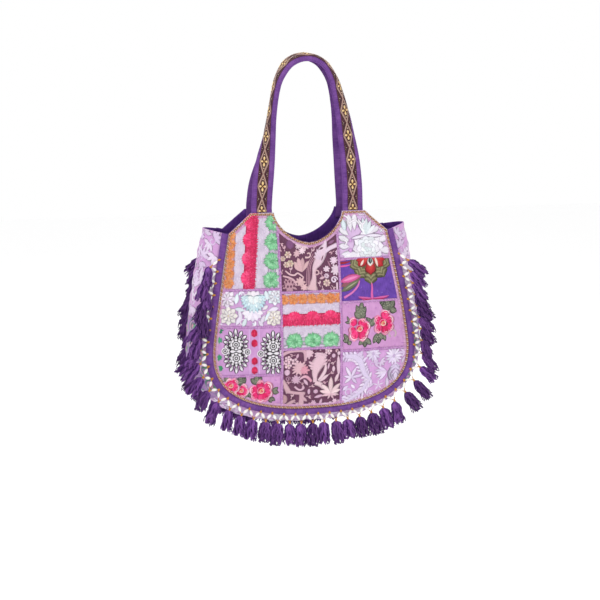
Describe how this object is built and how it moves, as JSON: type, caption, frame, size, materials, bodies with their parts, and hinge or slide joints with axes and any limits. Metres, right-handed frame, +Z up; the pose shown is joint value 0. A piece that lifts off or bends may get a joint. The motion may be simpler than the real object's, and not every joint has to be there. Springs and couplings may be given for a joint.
{
  "type": "patchwork tote bag",
  "caption": "Patchwork shoulder tote with a scalloped top, purple border, bulging gusset, two cloth straps with ribbon, and a zigzag lace with tassels.",
  "frame": {"origin": "under the top of the two straps, midway between them, where a hand or hook carries the bag", "axes": "+Z up, front panel towards -Y, +X to the right as seen from the front"},
  "size_m": [0.5697, 0.2305, 0.8619],
  "materials": {
    "purple_cotton": "matt plain weave",
    "lining_cotton": "matt plain weave",
    "striped_ribbon": "embroidered ribbon on silver weave",
    "lotus_brocade": "satin brocade",
    "medallion_brocade": "satin embroidery",
    "rose_brocade": "satin embroidery",
    "plum_brocade": "satin brocade",
    "peony_brocade": "satin brocade",
    "bloom_brocade": "satin embroidery",
    "damask_brocade": "satin damask",
    "gusset_print": "matt print",
    "seam_tape": "satin braid",
    "gold_braid": "twisted metallic thread",
    "strap_ribbon": "jacquard ribbon",
    "white_lace": "cotton and metallic thread",
    "tassel_cotton": "soft cotton thread"
  },
  "bodies": {
    "root": {"front_lining": "lining_cotton", "front_patch_left_1": "striped_ribbon", "front_patch_left_2": "lotus_brocade", "front_patch_left_3": "medallion_brocade", "front_patch_left_4": "rose_brocade", "front_patch_middle_1": "plum_brocade", "front_patch_middle_2": "striped_ribbon", "front_patch_middle_3": "plum_brocade", "front_patch_right_1": "peony_brocade", "front_patch_right_2": "bloom_brocade", "front_patch_right_3": "rose_brocade", "front_patch_right_4": "damask_brocade", "front_border": "purple_cotton", "front_seam_tape": "seam_tape", "front_edge_braid": "gold_braid", "front_strap": "purple_cotton", "front_strap_ribbon": "strap_ribbon", "front_zigzag_lace": "white_lace", "front_tassels": "tassel_cotton", "back_lining": "lining_cotton", "back_patch_left_1": "striped_ribbon", "back_patch_left_2": "lotus_brocade", "back_patch_left_3": "medallion_brocade", "back_patch_left_4": "rose_brocade", "back_patch_middle_1": "plum_brocade", "back_patch_middle_2": "striped_ribbon", "back_patch_middle_3": "plum_brocade", "back_patch_right_1": "peony_brocade", "back_patch_right_2": "bloom_brocade", "back_patch_right_3": "rose_brocade", "back_patch_right_4": "damask_brocade", "back_border": "purple_cotton", "back_seam_tape": "seam_tape", "back_edge_braid": "gold_braid", "back_strap": "purple_cotton", "back_strap_ribbon": "strap_ribbon", "back_zigzag_lace": "white_lace", "back_tassels": "tassel_cotton", "gusset_left_upper": "damask_brocade", "gusset_left_lower": "gusset_print", "gusset_bottom": "damask_brocade", "gusset_right_lower": "gusset_print", "gusset_right_upper": "damask_brocade", "gusset_lining_left": "lining_cotton", "gusset_lining_bottom": "lining_cotton", "gusset_lining_right": "lining_cotton"}
  },
  "joints": []
}
